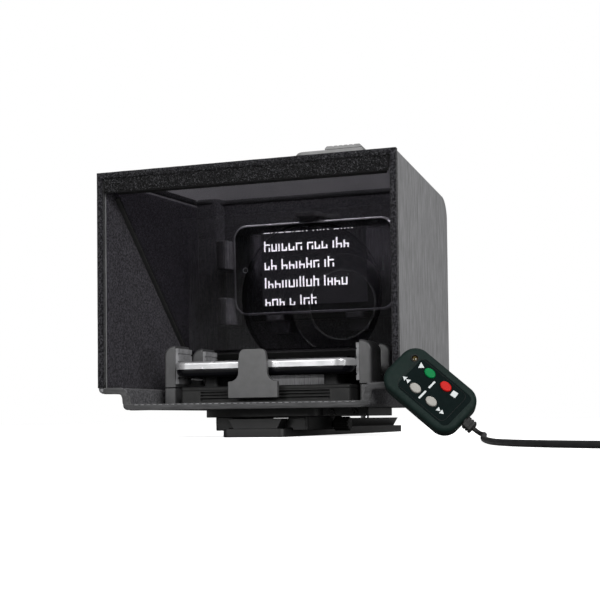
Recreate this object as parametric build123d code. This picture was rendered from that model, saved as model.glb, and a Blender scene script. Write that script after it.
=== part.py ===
from build123d import *
import math
import os

# Compact teleprompter: a fabric-covered hood over a tilted beam splitter, a clamping cradle
# with a handset under the glass, a slide-rail mount, and a wired remote with its cord.
# Millimetres. +Z is up and the open mouth of the hood faces -Y. The origin is the mouth of
# the tripod socket, in the underside of the rail, on the mid-plane of the hood.

os.makedirs("parts", exist_ok=True)

# ---------------------------------------------------------------- driving dimensions
HOOD_W = 188.0            # outer width over the side walls
HOOD_FRONT = -60.0        # y of the mouth
HOOD_REAR = 59.0          # y of the back face
WALL = 3.2                # fabric-covered foam board
SHELF_Z = 27.0            # underside of the side walls and of the shoulders
TRAY_Z = 17.0             # underside of the tray
TRAY_W = 155.0            # outer width of the tray
TOP_FRONT_Z = 160.5       # top of the hood at the mouth
TOP_FALL = 0.082          # how fast the top falls towards the back
BACK_RADIUS = 14.0        # rounded corner between top and back
LINING = 1.0              # felt

GLASS_T = 2.0
GLASS_TILT = 44.0         # degrees above horizontal, high side at the mouth
GLASS_Y, GLASS_Z = 18.8, 85.0   # a point of the reflecting face
GLASS_TOP, GLASS_END = 96.0, 45.5   # how far it runs up and down from that point
CHANNEL_LIP = 0.8
CHANNEL_DEPTH = 3.0

LENS_Z = 93.0             # height of the lens axis
PORT_R = 50.0
RING_Y = 122.0            # front face of the lens ring
RING_R = 40.0
RING_BORE = 34.0

HANDSET_L, HANDSET_W, HANDSET_T = 115.5, 62.1, 9.4
HANDSET_X = 1.2           # centre of the handset and of the two jaws
HANDSET_FRONT = -38.5
HANDSET_Z = 36.5          # underside of the handset

BASE_X0, BASE_X1 = -50.7, 58.4
BASE_Y0, BASE_Y1 = -37.0, 27.0
BASE_Z0, BASE_Z1 = 20.4, 30.6
PINION_X, PINION_Y = HANDSET_X, 0.0
MODULE, TEETH = 0.8, 10
PITCH_R = MODULE * TEETH / 2
BAR_Z0, BAR_Z1 = 23.0, 27.0

RAIL_W, RAIL_Y0, RAIL_Y1 = 40.0, -45.0, 205.0
RAIL_TOP = 11.0
SOCKET_R = 2.55           # tapping radius of a 1/4-20 thread
CAMERA_SCREW_Y = 172.0     # clear of the lens ring above it
CAMERA_TRAVEL = 16.0       # each way along the slot

REMOTE_L, REMOTE_W, REMOTE_T = 50.0, 30.0, 10.5
REMOTE_POS = (115.5, -73.9, 26.0)   # centre of the keypad face
REMOTE_YAW, REMOTE_LEAN, REMOTE_ROLL = 14.6, 20.0, 43.0
CORD_D = 2.5

FIT = 0.3                 # gap between moving faces


def save(name, *shapes):
    """Write one node: a single solid, or a group of separate equal pieces."""
    shape = shapes[0] if len(shapes) == 1 else Compound(children=list(shapes))
    export_step(shape, f"parts/{name}.step")
    return shape


def block(x0, x1, y0, y1, z0, z1):
    return Pos((x0 + x1) / 2, (y0 + y1) / 2, (z0 + z1) / 2) * Box(x1 - x0, y1 - y0, z1 - z0)


def rod(r, p0, p1):
    """A round bar from one point to another."""
    a, b = Vector(*p0), Vector(*p1)
    return Plane(origin=a, z_dir=b - a).location * Cylinder(
        r, (b - a).length, align=(Align.CENTER, Align.CENTER, Align.MIN))


def side_plate(points, x0, x1):
    """A plate whose outline lies in the YZ plane, from x0 to x1."""
    face = make_face(Polyline(*[(x0, y, z) for y, z in points], close=True))
    return extrude(face, amount=x1 - x0, dir=(1, 0, 0))


def cross_bar(points, y0, y1):
    """A bar whose outline lies in the XZ plane, from y0 to y1."""
    face = make_face(Polyline(*[(x, y0, z) for x, z in points], close=True))
    return extrude(face, amount=y1 - y0, dir=(0, 1, 0))


def along(solid, axis, r, keep=lambda e: True):
    """Fillet the straight edges that run along an axis."""
    edges = [e for e in solid.edges().filter_by(axis) if keep(e.center())]
    return fillet(edges, r) if edges else solid


# ---------------------------------------------------------------- hood panels
def top_z(y):
    return TOP_FRONT_Z - TOP_FALL * (y - HOOD_FRONT)


def silhouette(inset, z0, front, x0, x1):
    """The hood seen from the side, shrunk by an inset, as a plate from x0 to x1."""
    rear = HOOD_REAR - inset
    pts = [(front, z0), (front, top_z(front) - inset), (rear, top_z(rear) - inset), (rear, z0)]
    plate = side_plate(pts, x0, x1)
    return along(plate, Axis.X, BACK_RADIUS - inset,
                 lambda c: c.Y > rear - 1 and c.Z > 100)


half = HOOD_W / 2
inner = half - WALL
left_wall = silhouette(0, SHELF_Z, HOOD_FRONT, -half, -inner)
left_wall = along(left_wall, Axis.Y, 3.0, lambda c: c.X < -half + 1 and c.Z < SHELF_Z + 1)
right_wall = silhouette(0, SHELF_Z, HOOD_FRONT, inner, half)
right_wall = along(right_wall, Axis.Y, 3.0, lambda c: c.X > half - 1 and c.Z < SHELF_Z + 1)
save("left_wall", left_wall)
save("right_wall", right_wall)

BACK_SPLIT_Z = 136.0
rind = (silhouette(0, SHELF_Z, HOOD_FRONT, -inner, inner)
        - silhouette(WALL, SHELF_Z - 5, HOOD_FRONT - 20, -inner - 5, inner + 5))
top_panel = rind & block(-inner, inner, HOOD_FRONT, HOOD_REAR, BACK_SPLIT_Z, 170)
port = rod(PORT_R, (0, 40, LENS_Z), (0, 80, LENS_Z))
save("top_panel", top_panel - port)

tray_half = TRAY_W / 2
back_outline = [(-inner, SHELF_Z), (-tray_half, SHELF_Z), (-tray_half, TRAY_Z),
                (tray_half, TRAY_Z), (tray_half, SHELF_Z), (inner, SHELF_Z),
                (inner, BACK_SPLIT_Z), (-inner, BACK_SPLIT_Z)]
save("rear_panel", cross_bar(back_outline, HOOD_REAR - WALL, HOOD_REAR) - port)

tray_in = tray_half - WALL
tray_outline = [(-inner, SHELF_Z), (-tray_half, SHELF_Z), (-tray_half, TRAY_Z),
                (tray_half, TRAY_Z), (tray_half, SHELF_Z), (inner, SHELF_Z),
                (inner, SHELF_Z + WALL), (tray_in, SHELF_Z + WALL), (tray_in, TRAY_Z + WALL),
                (-tray_in, TRAY_Z + WALL), (-tray_in, SHELF_Z + WALL), (-inner, SHELF_Z + WALL)]
tray_shell = cross_bar(tray_outline, HOOD_FRONT, HOOD_REAR - WALL)
tray_shell = along(tray_shell, Axis.Y, 2.8, lambda c: abs(c.X) < inner - 1 and (
    c.Z < TRAY_Z + 1 or c.Z > SHELF_Z + WALL - 1 or abs(c.Z - SHELF_Z) < 0.5))

SCREW_SPOTS = [(x, y) for x in (-30, 34) for y in (-26, 20)]
for x, y in SCREW_SPOTS:
    tray_shell -= rod(1.6, (x, y, TRAY_Z - 1), (x, y, TRAY_Z + WALL + 1))
save("tray_shell", tray_shell)

# felt inside the walls and the top, held back from the mouth
lining_front = HOOD_FRONT + 5
for side, x0 in (("left", -inner), ("right", inner - LINING)):
    felt = silhouette(WALL, SHELF_Z + WALL, lining_front, x0, x0 + LINING)
    save(f"{side}_lining", felt)
under_top = (silhouette(WALL, 100, lining_front, -inner + LINING, inner - LINING)
             - silhouette(WALL + LINING, 90, HOOD_FRONT - 20, -inner, inner))
save("top_lining", under_top & block(-inner, inner, HOOD_FRONT, 40, BACK_SPLIT_Z, 170))

# bound edges of the mouth: one tape per edge, and a hem under the tray's lip
BIND_T = 0.8
z_top = TOP_FRONT_Z
tapes = [block(s * half - (WALL if s > 0 else 0), s * half + (WALL if s < 0 else 0),
               HOOD_FRONT - BIND_T, HOOD_FRONT, SHELF_Z + 3, z_top - 0.3) for s in (-1, 1)]
tapes.append(block(-inner, inner, HOOD_FRONT - BIND_T, HOOD_FRONT, z_top - WALL, z_top - 0.3))
save("front_binding", *tapes)
save("tray_hem", block(-tray_half + 3, tray_half - 3, HOOD_FRONT - 1.4, HOOD_FRONT,
                       TRAY_Z, TRAY_Z + WALL))

# hook-and-loop strip hanging inside the mouth, behind the top edge
STRIP_H = 9.0
save("loop_strip", block(-inner + 1.2, inner - 1.2, HOOD_FRONT + 0.4, HOOD_FRONT + 2.4,
                         z_top - WALL - STRIP_H, z_top - WALL - 0.3))

# ---------------------------------------------------------------- beam splitter
tilt = math.radians(GLASS_TILT)
uphill = (-math.cos(tilt), math.sin(tilt))   # (y, z) along the glass, towards the mouth
normal = (math.sin(tilt), math.cos(tilt))    # (y, z) away from the handset


def on_glass(s, t):
    """Point at distance s uphill and t behind the reflecting face, as (y, z)."""
    return (GLASS_Y + s * uphill[0] + t * normal[0], GLASS_Z + s * uphill[1] + t * normal[1])


def glass_bar(x0, x1, s0, s1, t0, t1):
    return side_plate([on_glass(s0, t0), on_glass(s1, t0), on_glass(s1, t1), on_glass(s0, t1)],
                      x0, x1)


felt_in = inner - LINING
glass_half = felt_in - 0.6
save("beam_splitter", glass_bar(-glass_half, glass_half, -GLASS_END, GLASS_TOP, 0, GLASS_T))
channels = []
for s in (-1, 1):
    x_wall, x_in = s * felt_in, s * (felt_in - CHANNEL_DEPTH)
    lo, hi = min(x_wall, x_in), max(x_wall, x_in)
    solid = glass_bar(lo, hi, -GLASS_END + 4, GLASS_TOP - 6, -CHANNEL_LIP, GLASS_T + CHANNEL_LIP)
    solid -= glass_bar(-glass_half - 0.1, glass_half + 0.1, -GLASS_END - 5, GLASS_TOP + 5,
                       -0.05, GLASS_T + 0.05)
    channels.append(solid)
save("glass_channels", *channels)


def glass_rail(s_near, s_far):
    """A U-shaped rail over one end of the glass. s_near is its open side."""
    lo, hi = min(s_near, s_far), max(s_near, s_far)
    solid = glass_bar(-felt_in + 4, felt_in - 4, lo, hi, -1.2, GLASS_T + 1.2)
    inside = s_far - 1.2 if s_far > s_near else s_far + 1.2
    a, b = min(s_near, inside), max(s_near, inside)
    a, b = (a - 3, b) if s_far > s_near else (a, b + 3)
    return solid - glass_bar(-100, 100, a, b, -0.05, GLASS_T + 0.05)


save("glass_top_rail", glass_rail(GLASS_TOP - 3, GLASS_TOP + 1.3))
save("glass_bottom_stop", glass_rail(-GLASS_END + 3.5, -GLASS_END - 1.3))

# ---------------------------------------------------------------- tab on the top edge
tab_y0, tab_y1 = HOOD_FRONT + 3.0, HOOD_FRONT + 19.0
TAB_SLOPE = -math.degrees(math.atan(TOP_FALL))


def on_top(x, y, above, shape):
    """Place a shape flat on the sloping top."""
    return Pos(x, y, top_z(y) + above) * Rot(TAB_SLOPE, 0, 0) * shape


tab_mid = (tab_y0 + tab_y1) / 2
TAB_T = 3.4
plate = Box(42, 16, TAB_T, align=(Align.CENTER, Align.CENTER, Align.MIN))
plate = fillet([e for e in plate.edges().filter_by(Axis.Z) if e.center().X < 0], 6)
plate = chamfer(plate.faces().sort_by(Axis.Z)[-1].edges(), 1.0)
save("tab_plate", on_top(53, tab_mid, 0.02, plate))
grip = Box(22, 14, 2.0, align=(Align.CENTER, Align.CENTER, Align.MIN))
grip = chamfer([e for e in grip.edges().filter_by(Axis.Y) if e.center().Z > 1], 1.2)
for k in range(5):
    grip -= Pos(-6 + 3 * k, 0, 2.0) * Box(0.9, 16, 0.7)
save("tab_grip", on_top(62, tab_mid, TAB_T + 0.04, grip))

# ---------------------------------------------------------------- lens port
def ring(outer, bore, y0, y1, z=LENS_Z, x=0):
    return rod(outer, (x, y0, z), (x, y1, z)) - rod(bore, (x, y0 - 1, z), (x, y1 + 1, z))


save("lens_flange", ring(54.0, PORT_R - 1.4, HOOD_REAR, HOOD_REAR + 2.0)
     + ring(PORT_R - 0.2, PORT_R - 1.4, HOOD_REAR - WALL, HOOD_REAR + 0.5))

# the cloth sleeve between the port and the lens ring, as a plain cone
sleeve_y0, sleeve_y1 = HOOD_REAR + 2.0, RING_Y
SLEEVE_R0, SLEEVE_R1, SLEEVE_T = 52.5, RING_R - 0.5, 2.0


def sleeve_radius(y):
    return SLEEVE_R0 + (y - sleeve_y0) / (sleeve_y1 - sleeve_y0) * (SLEEVE_R1 - SLEEVE_R0)


sleeve_face = make_face(Polyline(
    (SLEEVE_R0, sleeve_y0, 0), (SLEEVE_R1, sleeve_y1, 0),
    (SLEEVE_R1 - SLEEVE_T, sleeve_y1, 0), (SLEEVE_R0 - SLEEVE_T, sleeve_y0, 0), close=True))
save("lens_sleeve", Pos(0, 0, LENS_Z) * revolve(sleeve_face, Axis.Y))

lens_ring = ring(RING_R, RING_BORE, RING_Y, RING_Y + 18)
lens_ring = chamfer([e for e in lens_ring.edges().filter_by(GeomType.CIRCLE)
                     if abs(e.radius - RING_R) < 0.1], 0.8)
SCREW_Y = RING_Y + 9
lens_ring -= rod(1.6, (0, SCREW_Y, LENS_Z + RING_BORE - 2), (0, SCREW_Y, LENS_Z + RING_R + 2))
save("lens_ring", lens_ring)
ring_screw = rod(4.2, (0, SCREW_Y, LENS_Z + RING_R + 1), (0, SCREW_Y, LENS_Z + RING_R + 9))
ring_screw = chamfer(ring_screw.edges().filter_by(GeomType.CIRCLE), 0.6)
for k in range(12):
    a = math.radians(30 * k)
    x, y = 4.5 * math.cos(a), SCREW_Y + 4.5 * math.sin(a)
    ring_screw -= rod(0.8, (x, y, LENS_Z + RING_R), (x, y, LENS_Z + RING_R + 10))
ring_screw += rod(1.5, (0, SCREW_Y, LENS_Z + RING_BORE + 0.6), (0, SCREW_Y, LENS_Z + RING_R + 1.5))
save("ring_screw", ring_screw)

sleeve_bore = sleeve_radius(RING_Y - 7) - 4.4
cone = make_face(Polyline((sleeve_bore, RING_Y - 7, 0), (sleeve_bore, RING_Y, 0),
                          (24.6, RING_Y, 0), (24.6, RING_Y - 1.6, 0), (26.0, RING_Y - 1.6, 0),
                          (sleeve_bore - 1.2, RING_Y - 7, 0), close=True))
save("adapter_ring", Pos(0, 0, LENS_Z) * revolve(cone, Axis.Y))

# ---------------------------------------------------------------- cradle
base = block(BASE_X0, BASE_X1, BASE_Y0, BASE_Y1, BASE_Z0, 28.2)
base = along(base, Axis.Z, 2.0)
# grip recess in the front face, with two ribs left standing
for z0, z1 in ((21.8, 23.6), (24.4, 25.6), (26.4, 27.4)):
    base -= block(-37.4, 45.6, BASE_Y0 - 1, BASE_Y0 + 2.2, z0, z1)
bar_near, bar_far = PITCH_R + 0.9, PITCH_R + 7.0
tooth_tip = bar_near - 1.5
for y0, y1 in ((tooth_tip, bar_far), (-bar_far, -tooth_tip)):
    base -= block(BASE_X0 - 1, BASE_X1 + 1, y0 - FIT, y1 + FIT, BAR_Z0 - FIT, 28.3)
base -= block(PINION_X - 6, PINION_X + 6, -6, 6, BAR_Z0 - FIT, 28.3)
CLIP_X, TONGUE_HALF, TONGUE_BACK = -0.3, 8.0, -14.0
base -= block(CLIP_X - TONGUE_HALF - FIT, CLIP_X + TONGUE_HALF + FIT, BASE_Y0 - 1,
              TONGUE_BACK + 0.5, BAR_Z0 - FIT, 28.3)
base -= rod(1.55, (PINION_X, PINION_Y, BASE_Z0 - 1), (PINION_X, PINION_Y, 29))
for x, y in SCREW_SPOTS:
    base -= rod(1.6, (x, y, BASE_Z0 - 1), (x, y, 29))
    base -= rod(3.1, (x, y, 26.2), (x, y, 29))
save("cradle_base", base)

cover = block(BASE_X0, BASE_X1, BASE_Y0, BASE_Y1, 28.2, BASE_Z1)
cover = along(cover, Axis.Z, 2.0)
cover = chamfer(cover.faces().sort_by(Axis.Z)[-1].edges(), 0.7)
for x in range(-40, 50, 6):
    cover -= block(x, x + 1.6, -34, -30, BASE_Z1 - 0.7, BASE_Z1 + 1)
cover -= rod(1.55, (PINION_X, PINION_Y, 28), (PINION_X, PINION_Y, BASE_Z1 - 1.0))
save("cradle_cover", cover)

pad_y0, pad_y1 = HANDSET_FRONT + 12, HANDSET_FRONT + HANDSET_W - 4
cradle_pads = [along(block(x, x + 9, pad_y0, pad_y1, BASE_Z1, HANDSET_Z), Axis.Z, 2)
               for x in (-40, 38)]
save("cradle_pads", *cradle_pads)

save("cradle_screws", *[rod(1.5, (x, y, 14.0), (x, y, 26.3)) + rod(2.9, (x, y, 26.25), (x, y, 28.1))
                        for x, y in SCREW_SPOTS])

# rack and pinion that keep the two jaws centred
tooth_pitch = math.pi * MODULE


def tooth(width, tip, low, high):
    """A trapezoid tooth outline about x = 0, from y = low to y = high."""
    return [(-width, low), (-tip, high), (tip, high), (width, low)]


pinion_face = Circle(PITCH_R - 0.9)
for k in range(TEETH):
    tooth_face = make_face(Polyline(*[(x, y, 0) for x, y in tooth(0.62, 0.24, PITCH_R - 1.1,
                                                                 PITCH_R + 0.55)], close=True))
    pinion_face += Rot(0, 0, 360 * k / TEETH) * tooth_face
pinion = extrude(pinion_face, amount=BAR_Z1 - BAR_Z0 - 0.6)
pinion = Pos(PINION_X, PINION_Y, BAR_Z0 + 0.3) * pinion
pinion -= rod(1.55, (PINION_X, PINION_Y, 20), (PINION_X, PINION_Y, 30))
save("pinion", pinion)
save("pinion_pin", rod(1.5, (PINION_X, PINION_Y, BASE_Z0), (PINION_X, PINION_Y, BASE_Z1 - 1.0)))

FINGERS = ((-28.0, -8.0), (11.0, 30.0))
ARM_Z0, ARM_Z1, JAW_TOP = 20.5, 30.4, 56.8


def jaw_set(side, s):
    """One jaw: its sliding arm with rack, the finger piece on it, and the soft pads."""
    def x(d):
        return HANDSET_X + s * d

    def span(d0, d1):
        return min(x(d0), x(d1)), max(x(d0), x(d1))

    arm = block(*span(59.8, 67.5), -28, 30, ARM_Z0, ARM_Z1)
    arm = along(arm, Axis.Z, 1.5)
    # the left arm's rack runs behind the pinion, the right arm's in front of it
    y0, y1 = (bar_near, bar_far) if s < 0 else (-bar_far, -bar_near)
    arm += block(*span(-26.0, 60.2), y0, y1, BAR_Z0, BAR_Z1)
    toward = -1 if s < 0 else 1
    edge = y0 if s < 0 else y1
    for k in range(-6, 4):
        centre = PINION_X + s * (k + 0.5) * tooth_pitch
        pts = [(centre + dx, edge - toward * 0.1 + toward * dy)
               for dx, dy in tooth(0.60, 0.24, 0.0, 1.5)]
        face = make_face(Polyline(*[(px, py, BAR_Z0 + 0.3) for px, py in pts], close=True))
        arm += extrude(face, amount=BAR_Z1 - BAR_Z0 - 0.6, dir=(0, 0, 1))
    save(f"{side}_arm", arm)

    jaw = block(*span(59.8, 67.5), -28, 30, ARM_Z1 + 0.5, 36.0)
    for f0, f1 in FINGERS:
        jaw += block(*span(59.8, 67.5), f0, f1, 35.0, JAW_TOP)
    rim = [e for e in jaw.edges().filter_by(Axis.Y)
           if e.center().Z > JAW_TOP - 1 and abs(e.center().X - x(67.5)) < 0.1]
    jaw = fillet(rim, 6.5)
    outer_edges = [e for e in jaw.edges().filter_by(Axis.Z)
                   if abs(e.center().X - x(67.5)) < 0.1 and e.length > 5]
    jaw = fillet(outer_edges, 1.6)
    for yy in (-22, 24):
        jaw += block(*span(61.5, 65.5), yy - 3, yy + 3, ARM_Z1, ARM_Z1 + 0.6)
    save(f"{side}_jaw", jaw)
    pads = []
    for f0, f1 in FINGERS:
        pad = block(*span(57.8, 59.8), f0 + 0.6, f1 - 0.6, 33.0, JAW_TOP - 1.8)
        for n in range(4):
            z = 36.0 + 5.0 * n
            pad -= block(*span(57.0, 58.3), f0, f1, z, z + 1.0)
        pads.append(pad)
    save(f"{side}_jaw_pads", *pads)


jaw_set("left", -1)
jaw_set("right", 1)

# front clip: a waisted plate in front of the handset, on a tongue that slides in the base
CLIP_Y0, CLIP_Y1, CLIP_TOP, CLIP_LOW = -43.6, -40.6, 52.2, 23.3
with BuildPart() as clip_builder:
    with BuildSketch(Plane.XZ.offset(-CLIP_Y1)):
        with BuildLine():
            Polyline((-15.8, CLIP_LOW), (15.8, CLIP_LOW), (15.8, 33.2), (9.2, 33.2),
                     (9.2, 44), (8.1, CLIP_TOP), (-8.1, CLIP_TOP), (-9.2, 44), (-9.2, 33.2),
                     (-15.8, 33.2), close=True)
        make_face()
    extrude(amount=CLIP_Y1 - CLIP_Y0)
clip = clip_builder.part
ends = clip.edges().filter_by(Axis.Y)
clip = fillet([e for e in ends if e.center().Z > CLIP_TOP - 1], 3.5)
clip = fillet([e for e in clip.edges().filter_by(Axis.Y)
               if abs(e.center().Z - 33.2) < 0.1 and abs(e.center().X) < 10], 5.5)
clip = fillet([e for e in clip.edges().filter_by(Axis.Y)
               if abs(e.center().X) > 15 and e.center().Z > 30], 0.8)
clip = Pos(CLIP_X, 0, 0) * clip
clip_box = clip.bounding_box()
clip = Pos(0, CLIP_Y0 - clip_box.min.Y, 0) * clip
clip += block(CLIP_X - TONGUE_HALF, CLIP_X + TONGUE_HALF, CLIP_Y1 - 0.2, TONGUE_BACK, BAR_Z0,
              BAR_Z1 - 0.2)
clip += block(CLIP_X - 7, CLIP_X + 7, CLIP_Y1 - 0.2, HANDSET_FRONT - 0.05, 36, 46)
save("front_clip", clip)

feet = []
for x in (-27.3, 29.8):
    rear = HANDSET_FRONT + HANDSET_W
    foot = block(x - 6.5, x + 6.5, rear + 0.3, BASE_Y1 + 0.6, BASE_Z1, 46.0)
    foot = along(foot, Axis.Y, 2.5, lambda c: c.Z > 45)
    foot += block(x - 6.5, x + 6.5, BASE_Y1 + 0.02, rear + 12, TRAY_Z + WALL, 34)
    feet.append(foot)
save("rear_feet", *feet)

# ---------------------------------------------------------------- handset
hx0, hx1 = HANDSET_X - HANDSET_L / 2, HANDSET_X + HANDSET_L / 2
hy0, hy1 = HANDSET_FRONT, HANDSET_FRONT + HANDSET_W
BEZEL_Z, HANDSET_TOP = HANDSET_Z + 4.9, HANDSET_Z + HANDSET_T


def slab(inset, r, z0, z1):
    return along(block(hx0 + inset, hx1 - inset, hy0 + inset, hy1 - inset, z0, z1), Axis.Z, r)


back = slab(0.5, 9.5, HANDSET_Z, BEZEL_Z)
back = fillet(back.faces().sort_by(Axis.Z)[0].edges(), 4.0)
save("handset_back", back)
bezel = slab(0, 10, BEZEL_Z, HANDSET_TOP)
bezel = fillet(bezel.faces().sort_by(Axis.Z)[-1].edges(), 1.5)
bezel -= slab(1.7, 8.3, BEZEL_Z - 1, HANDSET_TOP + 1)
save("handset_bezel", bezel)
HOME_X, HOME_Y, HOME_R = hx0 + 8.6, (hy0 + hy1) / 2, 5.2
screen = slab(1.75, 8.25, BEZEL_Z + 0.4, HANDSET_TOP - 0.3)
screen -= rod(HOME_R + 0.15, (HOME_X, HOME_Y, BEZEL_Z + 2), (HOME_X, HOME_Y, HANDSET_TOP + 1))
screen -= block(hx1 - 9.2, hx1 - 7.6, HOME_Y - 5, HOME_Y + 5, HANDSET_TOP - 1.5, HANDSET_TOP)
save("handset_screen", screen)
home = rod(HOME_R, (HOME_X, HOME_Y, HANDSET_TOP - 1.7), (HOME_X, HOME_Y, HANDSET_TOP - 0.35))
dish = Pos(HOME_X, HOME_Y, HANDSET_TOP + 15.2) * Sphere(16)
save("handset_button", home - dish)

# ---------------------------------------------------------------- mount under the tray
plate = block(-46.5, 41, -40, 45, 12, TRAY_Z)
plate = along(plate, Axis.Z, 40, lambda c: c.X < 0)     # a round end on the left
plate = along(plate, Axis.Z, 9, lambda c: c.X > 40)
plate += along(block(34, 68, -34, 16, 12, TRAY_Z), Axis.Z, 1.5)
for x, y in SCREW_SPOTS:
    plate -= rod(1.55, (x, y, 13.5), (x, y, TRAY_Z + 1))
save("mount_plate", plate)


def rail_section(grow, y0, y1):
    """The dovetail of the rail, grown on every face by a gap."""
    return cross_bar([(-14 - grow, 4.9), (14 + grow, 4.9), (17.5 + grow, RAIL_TOP + grow),
                      (-17.5 - grow, RAIL_TOP + grow)], y0, y1)


carriage = block(-30, 30, -32, 32, 3.9, 12)
carriage -= block(-RAIL_W / 2 - FIT, RAIL_W / 2 + FIT, -60, 60, 3, 5 + FIT)
carriage -= rail_section(FIT, -60, 60)
carriage = along(carriage, Axis.Z, 2.0, lambda c: abs(c.X) > 29)
KNOB_Y, KNOB_Z, KNOB_R = 14.0, 7.3, 4.5
STUD_R = 2.0
carriage -= rod(STUD_R + 0.08, (10, KNOB_Y, KNOB_Z), (35, KNOB_Y, KNOB_Z))
save("rail_carriage", carriage)

rail = block(-RAIL_W / 2, RAIL_W / 2, RAIL_Y0, RAIL_Y1, 0, 5)
rail = along(rail, Axis.Z, 4)
rail += rail_section(0, RAIL_Y0 + 4, RAIL_Y1 - 4)
rail -= rod(SOCKET_R, (0, 0, -1), (0, 0, 9.5))
slot_reach = CAMERA_TRAVEL + 4
slot = block(-3.3, 3.3, CAMERA_SCREW_Y - slot_reach, CAMERA_SCREW_Y + slot_reach, -1, 20)
rail -= along(slot, Axis.Z, 3.29)
head_reach = CAMERA_TRAVEL + 8.5
rail -= along(block(-8, 8, CAMERA_SCREW_Y - head_reach, CAMERA_SCREW_Y + head_reach, -1, 5),
              Axis.Z, 7.9)
PAD_SPANS = ((RAIL_Y0 + 6, -10), (30, 80), (90, 140))
PAD_DEPTH, PAD_GAP = 1.2, 0.1
for y0, y1 in PAD_SPANS:
    rail -= along(block(-13, 13, y0, y1, -1, PAD_DEPTH), Axis.Z, 3)
save("base_rail", rail)
save("rail_pads", *[along(block(-13 + PAD_GAP, 13 - PAD_GAP, y0 + PAD_GAP, y1 - PAD_GAP,
                                0, PAD_DEPTH), Axis.Z, 3 - PAD_GAP) for y0, y1 in PAD_SPANS])

knob = rod(KNOB_R, (31, KNOB_Y, KNOB_Z), (41, KNOB_Y, KNOB_Z))
knob = chamfer([e for e in knob.edges().filter_by(GeomType.CIRCLE)], 0.7)
for k in range(12):
    a = math.radians(30 * k)
    y, z = KNOB_Y + (KNOB_R + 0.3) * math.cos(a), KNOB_Z + (KNOB_R + 0.3) * math.sin(a)
    knob -= rod(0.9, (30, y, z), (42, y, z))
knob += rod(STUD_R, (16.9, KNOB_Y, KNOB_Z), (31.5, KNOB_Y, KNOB_Z))
save("clamp_knob", knob)

THREAD_R = 3.175
camera_screw = rod(THREAD_R, (0, CAMERA_SCREW_Y, RAIL_TOP), (0, CAMERA_SCREW_Y, RAIL_TOP + 5.5))
camera_screw += rod(2.9, (0, CAMERA_SCREW_Y, 4), (0, CAMERA_SCREW_Y, RAIL_TOP + 0.1))
camera_screw += rod(7.0, (0, CAMERA_SCREW_Y, 1.6), (0, CAMERA_SCREW_Y, 4.8))
camera_screw -= block(-6, 6, CAMERA_SCREW_Y - 0.8, CAMERA_SCREW_Y + 0.8, 1, 2.8)
save("camera_screw", camera_screw)

# ---------------------------------------------------------------- remote
yaw, lean, roll = (math.radians(a) for a in (REMOTE_YAW, REMOTE_LEAN, REMOTE_ROLL))
facing = Vector(math.sin(yaw), -math.cos(yaw), 0)
sideways = Vector(math.cos(yaw), math.sin(yaw), 0)
keypad_out = facing * math.cos(lean) + Vector(0, 0, math.sin(lean))
rising = facing * -math.sin(lean) + Vector(0, 0, math.cos(lean))
long_dir = sideways * math.cos(roll) - rising * math.sin(roll)
remote_frame = Plane(origin=REMOTE_POS, x_dir=long_dir, z_dir=keypad_out)


def remote_slab(inset, r, z0, z1):
    half_l, half_w = REMOTE_L / 2 - inset, REMOTE_W / 2 - inset
    return along(block(-half_l, half_l, -half_w, half_w, z0, z1), Axis.Z, r)


SPLIT = -4.2
upper = remote_slab(0, 9, SPLIT, 0)
upper = fillet(upper.faces().sort_by(Axis.Z)[-1].edges(), 2.4)
upper -= remote_slab(1.6, 7.4, SPLIT - 1, -1.8)
lower = remote_slab(0.2, 8.8, -REMOTE_T, SPLIT)
lower = fillet(lower.faces().sort_by(Axis.Z)[0].edges(), 2.6)
lower -= remote_slab(1.8, 7.2, -REMOTE_T + 1.8, SPLIT + 1)
label = along(block(-14.5, 21.0, -11.0, 11.0, -0.5, 0.02), Axis.Z, 3)
upper -= along(block(-14.6, 21.1, -11.1, 11.1, -0.5, 1), Axis.Z, 3.1)
BUTTONS = {"green_button": (-5.7, 6.4), "red_button": (5.7, 6.4),
           "rewind_button": (-5.7, -5.1), "forward_button": (5.7, -5.1)}
KEY_A, KEY_B = 3.4, 2.4


def oval(a, b, z0, z1, x, y):
    return Pos(x, y, z0) * extrude(Ellipse(a, b), amount=z1 - z0)


for name, (u, v) in BUTTONS.items():
    hole = oval(KEY_A + 0.25, KEY_B + 0.25, -5, 2, u, v)
    upper -= hole
    label -= hole
    key = oval(KEY_A, KEY_B, -2.6, 1.1, u, v)
    key = fillet(key.faces().sort_by(Axis.Z)[-1].edges(), 0.7)
    key += oval(KEY_A + 0.8, KEY_B + 0.8, -3.2, -2.4, u, v)
    save(name, remote_frame.location * key)
led_hole = Pos(-17.7, 7.5, -1) * Cylinder(2.1, 6)
upper -= led_hole
relief_gap = rod(2.7, (REMOTE_L / 2 - 4, 0, -5.2), (REMOTE_L / 2 + 3, 0, -5.2))
save("remote_top_shell", remote_frame.location * (upper - relief_gap))
save("remote_bottom_shell", remote_frame.location * (lower - relief_gap))
save("remote_label", remote_frame.location * label)
board = remote_slab(2.6, 6.4, -6.4, -5.0) - block(18, 30, -4, 4, -8, 0)
save("remote_board", remote_frame.location * board)
RELIEF_LEN = 6.0
relief_end = REMOTE_L / 2 + RELIEF_LEN
relief = block(REMOTE_L / 2 + 0.8, relief_end, -3.2, 3.2, -7.7, -2.7)
relief = along(relief, Axis.X, 1.0)
relief = chamfer(relief.faces().sort_by(Axis.X)[-1].edges(), 0.5)
for k in range(2):
    spot = REMOTE_L / 2 + 2.2 + 1.7 * k
    relief -= (block(spot, spot + 0.7, -4, 4, -8.5, -2)
               - block(spot - 1, spot + 2, -2.6, 2.6, -7.1, -3.3))
relief += rod(2.6, (REMOTE_L / 2 - 3.2, 0, -5.2), (REMOTE_L / 2 + 1.2, 0, -5.2))
save("remote_relief", remote_frame.location * relief)

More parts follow.
